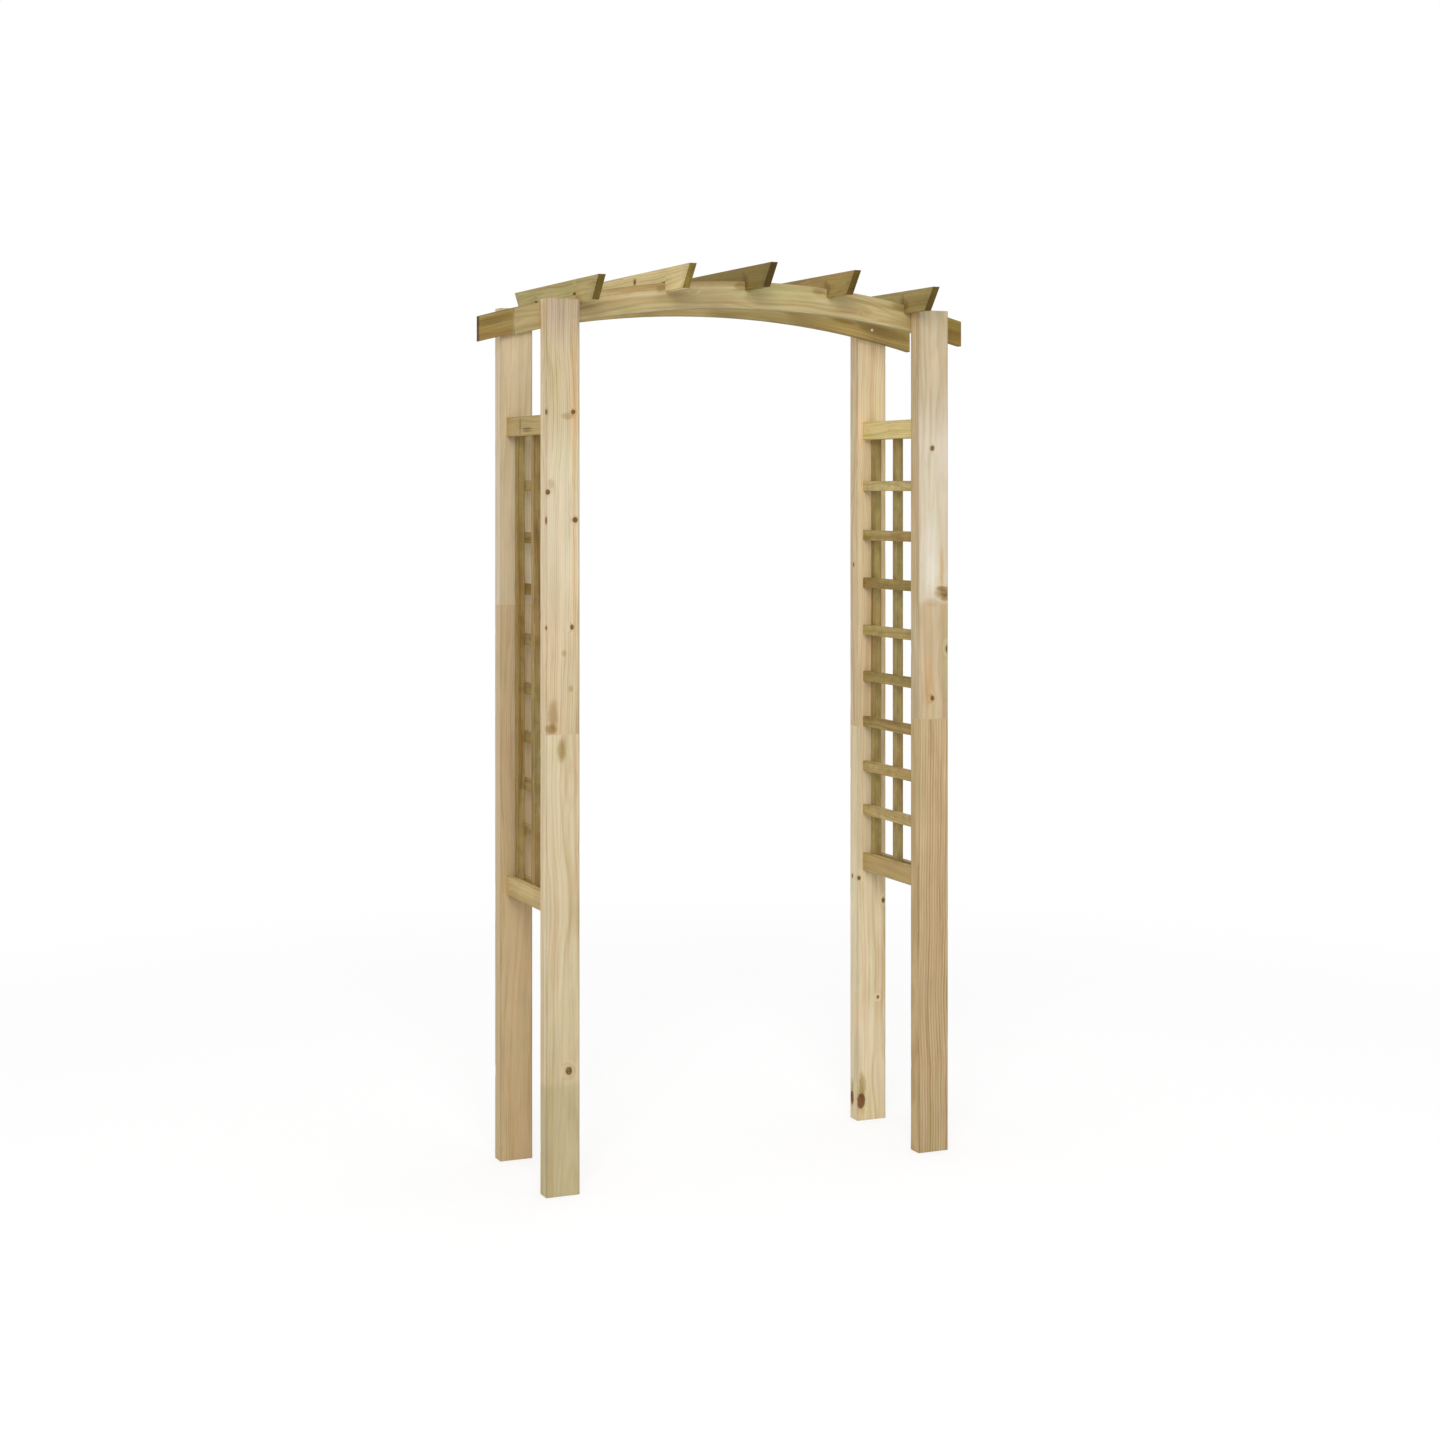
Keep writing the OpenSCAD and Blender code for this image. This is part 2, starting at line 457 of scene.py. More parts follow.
post(
    "post_front_left", [(0.0, 1, (0.05, 0.07)), (1.1565, 2, (0.13, 0.04))],
    ring=0.0052, late=0.5, streaks=0.5, mottle=0.45, green=0.35,
    tones=[
        (0.27, 194, 180, 140, 0.5), (0.29, 207, 191, 155, 0.7),
        (0.75, 215, 198, 163, 0.8), (1.156, 216, 199, 166, 0.8),
        (1.158, 205, 186, 150, 1.2), (1.30, 213, 195, 161, 1.2),
        (1.45, 214, 196, 163, 1.2), (1.60, 218, 204, 174, 1), (1.85, 217, 203, 173, 1),
        (1.95, 209, 191, 156, 1.5), (2.12, 207, 189, 155, 1.5), (2.21, 192, 173, 148, 1.5)],
    edge_tones=[
        (0.27, 208, 192, 149, 0.5), (0.29, 228, 209, 169, 0.7), (1.156, 237, 218, 180, 0.8),
        (1.158, 231, 207, 167, 1), (1.60, 241, 220, 184, 1), (2.20, 231, 207, 166, 1.2)],
    knots=[
        ((1.966, 0.027, FRONT), (0.006, 0.006, 0.020)),
        ((1.965, LEFT, FRONT), (0.007, 0.004, 0.006)),
        ((1.765, -0.040, FRONT), (0.007, 0.006, 0.006)),
        ((1.695, 0.033, FRONT), (0.007, 0.007, 0.020)),
        ((1.694, LEFT, FRONT), (0.010, 0.003, 0.006)),
        ((1.426, 0.024, FRONT), (0.007, 0.005, 0.015)),
        ((1.425, LEFT, FRONT), (0.006, 0.003, 0.006)),
        ((0.313, 0.016, FRONT), (0.010, 0.008, 0.030)),
        ((0.840, -0.020, BACK), (0.010, 0.009, 0.015)),
        ((1.730, 0.010, BACK), (0.008, 0.006, 0.012))],
    smears=[
        ((1.205, -0.026, FRONT), (0.055, 0.018, 0.02), BROWN_SMEAR, 0.75),
        ((1.172, -0.030, FRONT), (0.016, 0.024, 0.02), BROWN_SMEAR, 0.95),
        ((1.118, -0.003, FRONT), (0.040, 0.016, 0.02), BROWN_SMEAR, 0.9),
        ((1.361, 0.003, FRONT), (0.012, 0.009, 0.02), BROWN_SMEAR, 0.6),
        ((1.271, 0.021, FRONT), (0.012, 0.009, 0.02), BROWN_SMEAR, 0.6),
        ((1.785, -0.032, FRONT), (0.016, 0.012, 0.02), BROWN_SMEAR, 0.5),
        ((1.955, 0.012, FRONT), (0.012, 0.024, 0.02), BROWN_SMEAR, 0.6),
        ((1.960, 0.030, FRONT), (0.300, 0.009, 0.03), RED_STREAK, 1.0),
        ((1.560, 0.031, FRONT), (0.280, 0.007, 0.03), RED_STREAK, 0.9)])

post(
    "post_front_right", [(0.0, 3, (0.21, 0.03)), (1.1565, 4, (0.06, 0.10))],
    ring=0.0078, late=1.0, streaks=0.5, mottle=0.6, green=0.35,
    tones=[
        (0, 195, 173, 134, 1.6), (0.65, 199, 174, 135, 1.6), (1.1, 204, 180, 141, 1.6),
        (1.156, 205, 182, 145, 1.6), (1.158, 206, 184, 149, 0.5), (1.46, 207, 186, 151, 0.5),
        (1.475, 219, 205, 181, 0.3), (1.9, 222, 209, 187, 0.3), (2.02, 208, 193, 163, 0.5),
        (2.2, 204, 189, 158, 0.5)],
    edge_tones=[
        (0.00, 201, 173, 125, 1), (1.156, 206, 181, 135, 0.8), (1.158, 212, 195, 161, 0.6),
        (1.45, 212, 195, 161, 0.6), (1.475, 208, 184, 145, 0.6), (2.20, 208, 184, 145, 0.6)],
    knots=[
        ((1.882, -0.003, FRONT), (0.007, 0.006, 0.015)),
        ((1.213, -0.003, FRONT), (0.007, 0.006, 0.015)),
        ((1.345, 0.044, FRONT), (0.011, 0.006, 0.010)),
        ((0.520, 0.018, BACK), (0.011, 0.009, 0.015))],
    smears=[
        ((1.600, -0.010, FRONT), (0.140, 0.034, 0.03), PALE_PATCH, 0.9),
        ((1.494, 0.030, FRONT), (0.022, 0.034, 0.03), BROWN_SMEAR, 0.9),
        ((1.478, 0.036, FRONT), (0.008, 0.020, 0.02), BROWN_SMEAR, 1.0),
        ((1.492, 0.034, FRONT), (0.007, 0.018, 0.02), BROWN_SMEAR, 1.0),
        ((1.486, 0.036, FRONT), (0.004, 0.015, 0.02), DARK_HEART, 0.9),
        ((1.500, 0.033, FRONT), (0.004, 0.015, 0.02), DARK_HEART, 0.8),
        ((1.330, 0.034, FRONT), (0.170, 0.013, 0.02), OLIVE_CAST, 0.9),
        ((1.260, -0.012, FRONT), (0.110, 0.020, 0.02), PINK_CAST, 0.9),
        ((1.507, 0.026, FRONT), (0.008, 0.024, 0.02), BROWN_SMEAR, 1.0),
        ((1.560, 0.026, FRONT), (0.080, 0.008, 0.02), FLAME, 0.7),
        ((1.470, -0.005, FRONT), (0.016, 0.030, 0.02), BROWN_SMEAR, 0.35),
        ((1.250, -0.015, FRONT), (0.090, 0.012, 0.02), RED_STREAK, 0.4)])

post(
    "post_back_left", [(0.0, 5, (-0.09, 0.06)), (1.4665, 6, (0.12, 0.05))],
    ring=0.0048, late=0.55, streaks=0.35, mottle=0.4, green=0.25,
    tones=[
        (0.00, 199, 174, 133), (0.70, 202, 177, 137), (1.466, 208, 185, 148),
        (1.468, 215, 197, 165, 0.6), (2.20, 219, 200, 164, 0.8)],
    edge_tones=[
        (0.00, 209, 184, 140, 1), (1.466, 219, 195, 158, 1),
        (1.468, 229, 211, 180, 0.6), (2.20, 231, 212, 178, 0.8)],
    knots=[
        ((1.310, 0.020, BACK), (0.009, 0.008, 0.015))],
    smears=[])

post(
    "post_back_right", [(0.0, 7, (0.05, 0.08)), (1.1065, 8, (0.10, 0.05))],
    ring=0.0050, late=0.55, streaks=0.45, mottle=0.5, green=0.3,
    tones=[
        (0.00, 225, 206, 167, 1.2), (0.26, 234, 216, 183, 0.8), (0.33, 230, 212, 176, 1.1),
        (1.106, 232, 214, 179, 1.1), (1.108, 231, 209, 169, 1), (2.20, 247, 225, 184, 1)],
    edge_tones=[
        (0.00, 227, 210, 174, 1), (0.60, 235, 221, 187, 1), (1.106, 235, 218, 184, 1),
        (1.108, 216, 195, 158, 1), (2.00, 223, 201, 164, 1)],
    knots=[
        ((0.343, 0.020, FRONT), (0.005, 0.004, 0.015)),
        ((0.614, 0.037, FRONT), (0.007, 0.005, 0.012)),
        ((0.054, -0.033, FRONT), (0.021, 0.012, 0.010)),
        ((0.058, LEFT, 0.010), (0.020, 0.012, 0.009)),
        ((0.681, -0.039, FRONT), (0.006, 0.005, 0.012)),
        ((0.684, LEFT, 0.008), (0.006, 0.010, 0.005)),
        ((1.560, LEFT, 0.000), (0.006, 0.006, 0.004))],
    smears=[
        ((0.054, -0.033, FRONT), (0.020, 0.011, 0.009), RED_HEART, 1.0),
        ((0.058, LEFT, 0.010), (0.018, 0.011, 0.008), RED_HEART, 1.0),
        ((0.095, -0.030, FRONT), (0.050, 0.016, 0.02), MOSS_CAST, 1.0),
        ((0.080, LEFT, 0.010), (0.045, 0.015, 0.012), MOSS_CAST, 0.9)])

# --------------------------------------------------------------------------------
# Arched beams: two boards bandsawn to a curve from pressure-treated pine, 22 mm thick. One
# runs along the inner faces of the front posts, the other along those of the back posts.

# The curve's rise, the board's height at its middle and at its ends, and its arrises
BEAM_RISE = 0.088
BEAM_MIDDLE_H = 0.072
BEAM_END_H = 0.067
BEAM_ARRIS = 0.0012
BEAM_STATIONS = 150
# A beam's faces from its middle
BEAM_FRONT = -0.011
BEAM_BACK = 0.011
# Painted shade on the bandsawn top and bottom edges: how dark they are against the faces
EDGE_SHADE_TONE = 0.62

beam_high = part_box("front_beam")[1]
crown = beam_high.z
beam_half = beam_high.x


def arc_drop(x, rise):
    """How far an arc over the beam's length, with this rise, has come down at x."""
    radius = (beam_half ** 2 + rise ** 2) / (2 * rise)
    return radius - math.sqrt(radius ** 2 - x ** 2)


def beam_top(x):
    """Height of the beams' top edge at x."""
    return crown - arc_drop(x, BEAM_RISE)


def beam_belly(x):
    """Height of the beams' bottom edge at x."""
    return crown - BEAM_MIDDLE_H - arc_drop(x, BEAM_RISE + BEAM_END_H - BEAM_MIDDLE_H)


def beam(node, lengths, tones, sawn, knots, smears):
    """One arched beam. Knots and smears are placed by x, up from the middle, and through."""
    low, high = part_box(node)
    middle = (low.y + high.y) / 2
    stations = []
    for step in range(BEAM_STATIONS + 1):
        x = beam_half * (2 * step / BEAM_STATIONS - 1)
        stations.append((Vector((x, middle, beam_belly(x))), Vector((x, middle, beam_top(x))), x))
    tones = stops(tones)
    # The narrow edges are darkened, as painted shade on the beam's underside and on its top under
    # the rafters
    shaded_edge_tones = [(x, dimmed(tone, EDGE_SHADE_TONE)) for x, tone in tones]
    piece = plank(
        node + "_board", stations, Vector((0, 1, 0)), high.y - low.y, BEAM_ARRIS, tones, lengths,
        shaded_edge_tones)
    finish = pine(
        "treated pine " + node.replace("_", " "), ring=0.0052, late=0.65, streaks=0.6, mottle=0.75,
        green=0.6, sawn=sawn, gloss=0.62, knots=in_grain(lengths, knots),
        smears=in_grain(lengths, smears))
    fixed(piece, finish, "beam_pine", node)


# Tints of dark bands on beams and rafters: stains of the treatment, and painted shade under the
# rafters and beside their notches
DARK_STAIN_AND_SHADE = (0.52, 0.40, 0.23)
BROWN_STREAK_AND_SHADE = (0.68, 0.57, 0.40)

beam(
    "front_beam", [(-1.0, 9, (0.02, 0.06))],
    tones=[
        (-0.63, 171, 153, 109), (-0.45, 188, 171, 125), (-0.30, 204, 188, 146),
        (-0.10, 184, 168, 126), (0.02, 196, 182, 135),
        (0.40, 197, 180, 131), (0.575, 182, 160, 105), (0.60, 149, 124, 58)],
    # The sawn ends are painted much paler, as painted light on end faces that the lamps leave dark
    sawn=(1.75, 1.75, 1.70),
    knots=[
        ((-0.150, 0.010, BEAM_BACK), (0.008, 0.006, 0.015)),
        ((0.330, -0.015, BEAM_BACK), (0.006, 0.005, 0.012)),
        ((0.540, 0.012, BEAM_BACK), (0.007, 0.006, 0.012))],
    smears=[
        # The bands along the top edge are partly painted shade under the rafters, and the dark spots
        # beside the notches are painted shade
        ((-0.315, 0.032, BEAM_FRONT), (0.150, 0.020, 0.02), BROWN_STREAK_AND_SHADE, 0.95),
        ((-0.090, 0.034, BEAM_FRONT), (0.150, 0.014, 0.02), BROWN_STREAK_AND_SHADE, 0.8),
        ((-0.242, 0.022, BEAM_FRONT), (0.022, 0.014, 0.02), DARK_STAIN_AND_SHADE, 0.6),
        ((-0.020, 0.024, BEAM_FRONT), (0.024, 0.013, 0.02), DARK_STAIN_AND_SHADE, 0.6),
        ((0.206, 0.024, BEAM_FRONT), (0.026, 0.013, 0.02), DARK_STAIN_AND_SHADE, 0.6),
        ((0.448, 0.024, BEAM_FRONT), (0.030, 0.014, 0.02), DARK_STAIN_AND_SHADE, 0.6),
        ((0.380, 0.016, BEAM_FRONT), (0.200, 0.008, 0.02), BROWN_STREAK_AND_SHADE, 0.6),
        ((0.600, -0.010, 0.0), (0.10, 0.020, 0.05), DARK_STAIN_AND_SHADE, 0.5)])

beam(
    "back_beam", [(-1.0, 10, (-0.01, 0.05))],
    tones=[
        (-0.63, 155, 134, 76), (-0.45, 171, 150, 94), (0.00, 189, 174, 121),
        (0.20, 179, 162, 109), (0.45, 185, 163, 100), (0.63, 170, 148, 84)],
    sawn=(0.60, 0.50, 0.32),
    knots=[
        ((0.020, 0.012, BEAM_FRONT), (0.007, 0.006, 0.012)),
        ((-0.400, -0.010, BEAM_BACK), (0.008, 0.006, 0.012))],
    smears=[
        ((-0.590, 0.014, 0.0), (0.10, 0.016, 0.05), DARK_STAIN_AND_SHADE, 0.6),
        ((0.427, 0.002, BEAM_FRONT), (0.055, 0.011, 0.02), DARK_STAIN_AND_SHADE, 0.75),
        ((0.560, 0.0, 0.0), (0.12, 0.020, 0.05), DARK_STAIN_AND_SHADE, 0.6)])

# --------------------------------------------------------------------------------
# Rafters: five boards of treated pine on edge, with undercut ends, notched from below to
# sit down over both beams. The sloping end grain has taken up the most treatment.

RAFTER_UNDERCUT = 0.049
RAFTER_ARRIS = 0.0012
# The notch's gap to the beam, and the slope of its sides from bottom to top
NOTCH_CLEAR = 0.0005
NOTCH_EASE = 0.0004
# The first station in from a sloping end, at the low and the high edge, and the middle ones
END_STATION_LOW = 0.02
END_STATION_HIGH = 0.045
MIDDLE_STATIONS = (0.06, 0.0, -0.06)
# The ends are darker, down to this share, over the first and the last of these lengths
RAFTER_END_TONE = 0.8
RAFTER_TONE_STOPS = (0.0, 0.06, 0.59, 0.65)
RAFTER_TONES = [
    shade(195, 178, 120), shade(234, 216, 160), shade(140, 122, 61), shade(172, 148, 88),
    shade(169, 151, 96)]
RAFTER_PITHS = [(0.04, 0.02), (0.10, 0.06), (-0.03, 0.03), (0.02, 0.05), (-0.06, 0.02)]
RAFTER_LENGTHS = [[(0.0, 11 + number, pith)] for number, pith in enumerate(RAFTER_PITHS)]

rafter_finish = pine(
    "treated pine rafters", ring=0.0050, late=0.7, streaks=0.7, mottle=0.8, green=0.6,
    sawn=(0.44, 0.37, 0.14), gloss=0.64,
    knots=[
        *in_grain(RAFTER_LENGTHS[1], [((0.270, 0.010, -0.010), (0.009, 0.008, 0.012))]),
        *in_grain(RAFTER_LENGTHS[3], [((0.180, -0.008, 0.010), (0.007, 0.006, 0.012))])],
    # Painted shade on the last three rafters, beside the front notch
    smears=[
        (grain_at(lengths, 0.492, -0.008, -0.010), (0.030, 0.022, 0.012), DARK_STAIN_AND_SHADE, 0.6)
        for lengths in RAFTER_LENGTHS[2:]])


def rafter(node, number):
    """One rafter: its low edge climbs into each notch and out of it again."""
    low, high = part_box(node)
    x = (low.x + high.x) / 2
    thick = high.x - low.x
    seat = beam_top(max(0.0, abs(x) - thick / 2))
    stations = [(high.y - RAFTER_UNDERCUT, high.y, low.z)]
    stations += [
        (high.y - RAFTER_UNDERCUT - END_STATION_LOW, high.y - END_STATION_HIGH, low.z)]
    back_face, front_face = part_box("back_beam"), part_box("front_beam")
    for face in (back_face, front_face):
        outer, inner = face[1].y + NOTCH_CLEAR, face[0].y - NOTCH_CLEAR
        stations += [(outer + NOTCH_EASE, outer + NOTCH_EASE, low.z), (outer, outer, seat)]
        stations += [(inner, inner, seat), (inner - NOTCH_EASE, inner - NOTCH_EASE, low.z)]
        if face is back_face:
            stations += [(y, y, low.z) for y in MIDDLE_STATIONS]
    stations += [(low.y + RAFTER_UNDERCUT + END_STATION_LOW, low.y + END_STATION_HIGH, low.z)]
    stations += [(low.y + RAFTER_UNDERCUT, low.y, low.z)]
    rows = [
        (Vector((x, bottom_y, bottom_z)), Vector((x, top_y, high.z)), high.y - top_y)
        for bottom_y, top_y, bottom_z in stations]
    tone = RAFTER_TONES[number]
    darker = dimmed(tone, RAFTER_END_TONE)
    tones = list(zip(RAFTER_TONE_STOPS, (darker, tone, tone, darker)))
    piece = plank(
        node + "_board", rows, Vector((1, 0, 0)), thick, RAFTER_ARRIS, tones,
        RAFTER_LENGTHS[number])
    fixed(piece, rafter_finish, "rafter_pine", node)


for number in range(len(RAFTER_TONES)):
    rafter("rafter_%d" % (number + 1), number)

# --------------------------------------------------------------------------------
# Trellis lattices: sawn and treated bars, 28 x 18 mm. Three uprights stand in each panel,
# and eight cross slats are nailed to the face of them that looks into the arch.

# A bar: its section, its arrises, the length between its stations and its log
BAR_W = 0.028
BAR_T = 0.018
BAR_ARRIS = 0.0008
BAR_STEP = 0.04
BAR_LENGTHS = [(0.0, 20, (0.02, 0.05))]
# Its first end has soaked up more treatment: how dark it is there, and for how far
SOAKED_TONE = 0.78
SOAKED_LEN = 0.035
# The rails' height, then the slats: the first one's drop, their spacing, and how much each
# space closes up on the one above
RAIL_H = 0.050
SLAT_FIRST = 0.130
SLAT_PITCH = 0.1365
SLAT_CLOSING = 0.0023
SLAT_COUNT = 8
# Each bar comes from another place in the log, and is up to a spread darker, or this share
# of a spread paler, than the one that it repeats. Its tone has a seed of its own
LOG_SHIFTS = ((0.0, -0.03, -0.02), (40.0, 0.03, 0.02))
PALE_SHARE = 0.6
TONE_SEED = 7
# How pale each slat is, from the top one down
SLAT_TONES = [0.99, 0.85, 0.56, 0.82, 0.68, 0.74, 0.90, 0.95]
# The uprights: how far the first one is from the panel's end, and how many there are
UPRIGHT_INSET = 0.015
UPRIGHT_COUNT = 3


def tree_with(name, inputs):
    """A new tree for repeated pieces, with its named inputs, and the bench that fills it."""
    tree = bpy.data.node_groups.new(name, "GeometryNodeTree")
    tree.interface.new_socket(name="Geometry", in_out="OUTPUT", socket_type="NodeSocketGeometry")
    for label, kind in inputs:
        tree.interface.new_socket(name=label, in_out="INPUT", socket_type="NodeSocket" + kind)
    bench = Bench(tree)
    source = tree.nodes.new("NodeGroupInput")
    return bench, {label: Wire(bench, source.outputs[label]) for label, _ in inputs}


def chance(bench, kind, low, high, seed, **more):
    """A random value between two others, settled by the seed and by the ID, if it has one."""
    return bench.node(
        "FunctionNodeRandomValue", {"data_type": kind},
        {"Min": low, "Max": high, "Seed": seed, **more}, "Value")


def stored(bench, geometry, domain, kind, name, value):
    """The geometry with a value kept on it under a name."""
    return bench.node(
        "GeometryNodeStoreNamedAttribute", {"data_type": kind, "domain": domain},
        {"Geometry": geometry, "Name": name, "Value": value})


def recalled(bench, kind, name):
    """The value that the geometry carries under a name."""
    return bench.node(
        "GeometryNodeInputNamedAttribute", {"data_type": kind}, {"Name": name}, "Attribute")


def run_tree(piece, tree, values):
    """Runs a tree on a piece with these inputs and leaves the result as its plain mesh."""
    modifier = piece.modifiers.new("repeat", "NODES")
    modifier.node_group = tree
    for socket in tree.interface.items_tree:
        if socket.in_out == "INPUT" and socket.name in values:
            modifier[socket.identifier] = values[socket.name]
    shown = piece.evaluated_get(bpy.context.evaluated_depsgraph_get())
    mesh = bpy.data.meshes.new_from_object(shown)
    piece.modifiers.clear()
    piece.data = mesh


bars, given = tree_with("row of bars", [
    ("Geometry", "Geometry"), ("Count", "Int"), ("Direction", "Vector"), ("Pitch", "Float"),
    ("Closing", "Float"), ("Slip", "Float"), ("Tone spread", "Float"), ("Uptake", "Float"),
    ("Seed", "Int"), ("Finish", "Material")])
spot = bars.node("GeometryNodeInputIndex")
line = bars.node(
    "GeometryNodeMeshLine", {"mode": "OFFSET"},
    {"Count": given["Count"], "Start Location": (0.0, 0.0, 0.0), "Offset": (0.0, 0.0, 0.0)})
travel = spot * given["Pitch"] - given["Closing"] * spot * (spot - 1) * 0.5
slip = chance(bars, "FLOAT", given["Slip"] * -1.0, given["Slip"], given["Seed"], ID=spot)
set_out = bars.node(
    "GeometryNodeSetPosition", {},
    {"Geometry": line, "Offset": given["Direction"].times(travel + slip)})
placed = bars.node(
    "GeometryNodeInstanceOnPoints", {}, {"Points": set_out, "Instance": given["Geometry"]})
shift = chance(bars, "FLOAT_VECTOR", *LOG_SHIFTS, given["Seed"], ID=spot)
bar_tone = chance(
    bars, "FLOAT", 1.0 - given["Tone spread"], 1.0 + given["Tone spread"] * PALE_SHARE,
    given["Seed"] + TONE_SEED, ID=spot)
uptake = bars.node("ShaderNodeFloatCurve", {}, {"Value": spot / (given["Count"] - 1.0)})
curve = bars.tree.nodes[-1].mapping
for number, tone in enumerate(SLAT_TONES):
    place = number / (len(SLAT_TONES) - 1)
    if number in (0, len(SLAT_TONES) - 1):
        curve.curves[0].points[0 if number == 0 else -1].location = (place, tone)
    else:
        curve.curves[0].points.new(place, tone)
curve.update()
bar_tone = bar_tone * (1.0 - (1.0 - uptake) * given["Uptake"])
marked = stored(bars, placed, "INSTANCE", "FLOAT_VECTOR", "shift", shift)
marked = stored(bars, marked, "INSTANCE", "FLOAT", "bar_tone", bar_tone)
real = bars.node("GeometryNodeRealizeInstances", {}, {"Geometry": marked})
grain = recalled(bars, "FLOAT_VECTOR", "grain").moved(recalled(bars, "FLOAT_VECTOR", "shift"))
real = stored(bars, real, "POINT", "FLOAT_VECTOR", "grain", grain)
depth = recalled(bars, "FLOAT", "bar_tone")
soaked = bars.node("ShaderNodeCombineXYZ", {}, [depth, depth.power(1.2), depth.power(2.0)])
tone = recalled(bars, "FLOAT_COLOR", "tone").times(soaked)
real = stored(bars, real, "POINT", "FLOAT_COLOR", "tone", tone)
coated = bars.node("GeometryNodeSetMaterial", {}, {"Geometry": real, "Material": given["Finish"]})
bars.node("NodeGroupOutput", {}, {"Geometry": coated})

lattice_finish = pine(
    "treated pine bars", ring=0.0042, late=1.0, streaks=1.2, mottle=1.5, green=0.7,
    sawn=(0.45, 0.37, 0.22), gloss=0.68, spots=(34.0, 60.0, 60.0))


def panel_grid(side):
    """A panel's box, the way out of it, its inner face, and where its bars start and step."""
    low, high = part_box(side + "_lattice")
    outward = 1 if side == "right" else -1
    inner = low.x if side == "right" else high.x
    first_z = high.z - RAIL_H - SLAT_FIRST
    first_y = low.y + UPRIGHT_INSET + BAR_W / 2
    pitch = (high.y - low.y - 2 * UPRIGHT_INSET - BAR_W) / (UPRIGHT_COUNT - 1)
    return low, high, outward, inner, first_z, first_y, pitch


def bar(name, bottom, top, wide_way, tone):
    """One bar from its middle at one end to its middle at the other."""
    count = max(4, int((top - bottom).length / BAR_STEP))
    wide = wide_way * (BAR_W / 2)
    stations = []
    for step in range(count + 1):
        middle = bottom.lerp(top, step / count)
        stations.append((middle - wide, middle + wide, (middle - bottom).length))
    tones = [(0.0, dimmed(tone, SOAKED_TONE)), (SOAKED_LEN, tone)]
    return plank(name, stations, Vector((1, 0, 0)), BAR_T, BAR_ARRIS, tones, BAR_LENGTHS)


def lattice(side, slat_tone, upright_tone, seed):
    """One panel's uprights, and the cross slats on the face that looks into the arch."""
    low, high, outward, inner, first_z, first_y, pitch = panel_grid(side)
    slat_x = inner + outward * BAR_T / 2
    upright_x = inner + outward * BAR_T * 1.5
    slat = bar(
        side + "_slats", Vector((slat_x, low.y, first_z)), Vector((slat_x, high.y, first_z)),
        Vector((0, 0, 1)), slat_tone)
    run_tree(slat, bars.tree, {
        "Count": SLAT_COUNT, "Direction": (0.0, 0.0, -1.0), "Pitch": SLAT_PITCH,
        "Closing": SLAT_CLOSING, "Slip": 0.0008, "Tone spread": 0.05, "Uptake": 1.0, "Seed": seed,
        "Finish": lattice_finish})
    fixed(slat, lattice_finish, "lattice_pine", side + "_lattice")
    upright = bar(
        side + "_uprights", Vector((upright_x, first_y, low.z)),
        Vector((upright_x, first_y, high.z)), Vector((0, 1, 0)), upright_tone)
    run_tree(upright, bars.tree, {
        "Count": UPRIGHT_COUNT, "Direction": (0.0, 1.0, 0.0), "Pitch": pitch, "Closing": 0.0,
        "Slip": 0.0004, "Tone spread": 0.1, "Uptake": 0.0, "Seed": seed + 3,
        "Finish": lattice_finish})
    fixed(upright, lattice_finish, "lattice_pine", side + "_lattice")


lattice("left", shade(179, 155, 102, 1.6), shade(169, 149, 95, 1.6), 11)
lattice("right", shade(197, 177, 121, 1.7), shade(168, 150, 96, 1.8), 5)

# --------------------------------------------------------------------------------
# Rails: boards of treated pine, 50 x 18 mm, in pairs at the top and the bottom of each
# panel. The two boards of a pair clamp the uprights between them and meet both posts.

RAIL_ARRIS = 0.0015
RAIL_STEPS = 16
# Each rail's colour, and its pith across and through the board
RAIL_LOOKS = {
    "left_top_rail_inner": (shade(195, 173, 114), (0.03, 0.04)),
    "left_top_rail_outer": (shade(197, 171, 113), (-0.05, 0.03)),
    "left_bottom_rail_inner": (shade(187, 164, 108), (0.08, 0.05)),
    "left_bottom_rail_outer": (shade(209, 182, 126), (0.01, 0.06)),
    "right_top_rail_inner": (shade(235, 215, 151), (0.09, 0.03)),
    "right_top_rail_outer": (shade(197, 176, 118), (0.02, 0.05)),
    "right_bottom_rail_inner": (shade(189, 166, 109), (-0.04, 0.05)),
    "right_bottom_rail_outer": (shade(182, 159, 104), (0.06, 0.02))}
# The left top rail's outer board has a crack across it and two grooves along it
CRACKED_RAIL = [(0.0, 31, RAIL_LOOKS["left_top_rail_outer"][1])]
CRACK = (0.32, 0.24, 0.12)
RAIL_OUTER_FACE = -0.009

rail_finish = pine(
    "treated pine rails", ring=0.0050, late=0.8, streaks=0.7, mottle=0.8, green=0.5,
    sawn=(0.5, 0.42, 0.26), gloss=0.64,
    smears=in_grain(CRACKED_RAIL, [
        ((0.210, 0.0, RAIL_OUTER_FACE), (0.0050, 0.034, 0.012), CRACK, 1.0),
        ((0.155, -0.008, RAIL_OUTER_FACE), (0.055, 0.0036, 0.012), CRACK, 0.9),
        ((0.155, -0.014, RAIL_OUTER_FACE), (0.055, 0.0036, 0.012), CRACK, 0.7)]))

